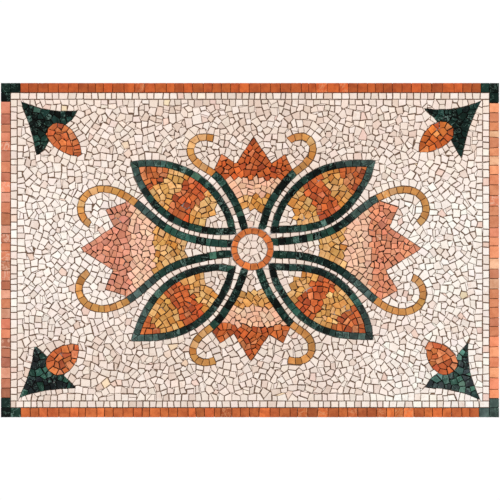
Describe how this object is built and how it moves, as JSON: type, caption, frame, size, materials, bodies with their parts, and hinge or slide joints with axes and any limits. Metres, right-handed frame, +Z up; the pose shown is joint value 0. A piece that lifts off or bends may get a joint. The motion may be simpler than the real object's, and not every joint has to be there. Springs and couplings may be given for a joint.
{
  "type": "mosaic panel",
  "caption": "Rectangular stone mosaic panel for a wall: a foliate ornament of leaves, tulips and curls round a ring, set in a cream field inside a one-stone border.",
  "frame": {"origin": "centre of the flat back face of the mortar bed, which lies against the wall", "axes": "+Z up, +X to the right seen from the front, +Y into the wall; the stone face looks along -Y"},
  "size_m": [0.9, 0.0183, 0.604],
  "materials": {
    "mortar": "matt brown-taupe cement mortar",
    "stone_cream": "honed cream marble with faint veins",
    "stone_orange": "honed orange-red marble with darker veins",
    "stone_salmon": "honed salmon marble, a little chalky",
    "stone_pink": "honed pale pink marble",
    "stone_gold": "honed gold-yellow marble",
    "stone_green": "polished dark green marble with pale veins"
  },
  "bodies": {
    "root": {"band_bottom_left_inner": "stone_green", "band_bottom_left_outer": "stone_green", "band_bottom_right_inner": "stone_green", "band_bottom_right_outer": "stone_green", "band_top_left_inner": "stone_green", "band_top_left_outer": "stone_green", "band_top_right_inner": "stone_green", "band_top_right_outer": "stone_green", "border_bottom": "stone_orange", "border_left": "stone_salmon", "border_right": "stone_salmon", "border_top": "stone_orange", "bud_bottom_left": "stone_orange", "bud_bottom_right": "stone_orange", "bud_top_left": "stone_orange", "bud_top_right": "stone_orange", "calyx_bottom_left": "stone_green", "calyx_bottom_right": "stone_green", "calyx_top_left": "stone_green", "calyx_top_right": "stone_green", "centre_disc": "stone_cream", "centre_ring": "stone_orange", "corner_block_bottom_left": "stone_green", "corner_block_bottom_right": "stone_green", "corner_block_top_left": "stone_green", "corner_block_top_right": "stone_green", "cream_field": "stone_cream", "curl_bottom_left_inner": "stone_gold", "curl_bottom_left_outer": "stone_gold", "curl_bottom_right_inner": "stone_gold", "curl_bottom_right_outer": "stone_gold", "curl_top_left_inner": "stone_gold", "curl_top_left_outer": "stone_gold", "curl_top_right_inner": "stone_gold", "curl_top_right_outer": "stone_gold", "leaf_fill_bottom_left": "stone_orange", "leaf_fill_bottom_right": "stone_orange", "leaf_fill_top_left": "stone_orange", "leaf_fill_top_right": "stone_orange", "leaf_outline_bottom_left": "stone_green", "leaf_outline_bottom_right": "stone_green", "leaf_outline_top_left": "stone_green", "leaf_outline_top_right": "stone_green", "mortar_bed": "mortar", "tulip_cream_bottom": "stone_cream", "tulip_cream_left": "stone_cream", "tulip_cream_right": "stone_cream", "tulip_cream_top": "stone_cream", "tulip_crown_bottom": "stone_orange", "tulip_crown_left": "stone_salmon", "tulip_crown_right": "stone_salmon", "tulip_crown_top": "stone_orange", "tulip_gold_bottom": "stone_gold", "tulip_gold_left": "stone_gold", "tulip_gold_right": "stone_gold", "tulip_gold_top": "stone_gold", "tulip_pink_bottom": "stone_pink", "tulip_pink_left": "stone_pink", "tulip_pink_right": "stone_pink", "tulip_pink_top": "stone_pink"}
  },
  "joints": []
}
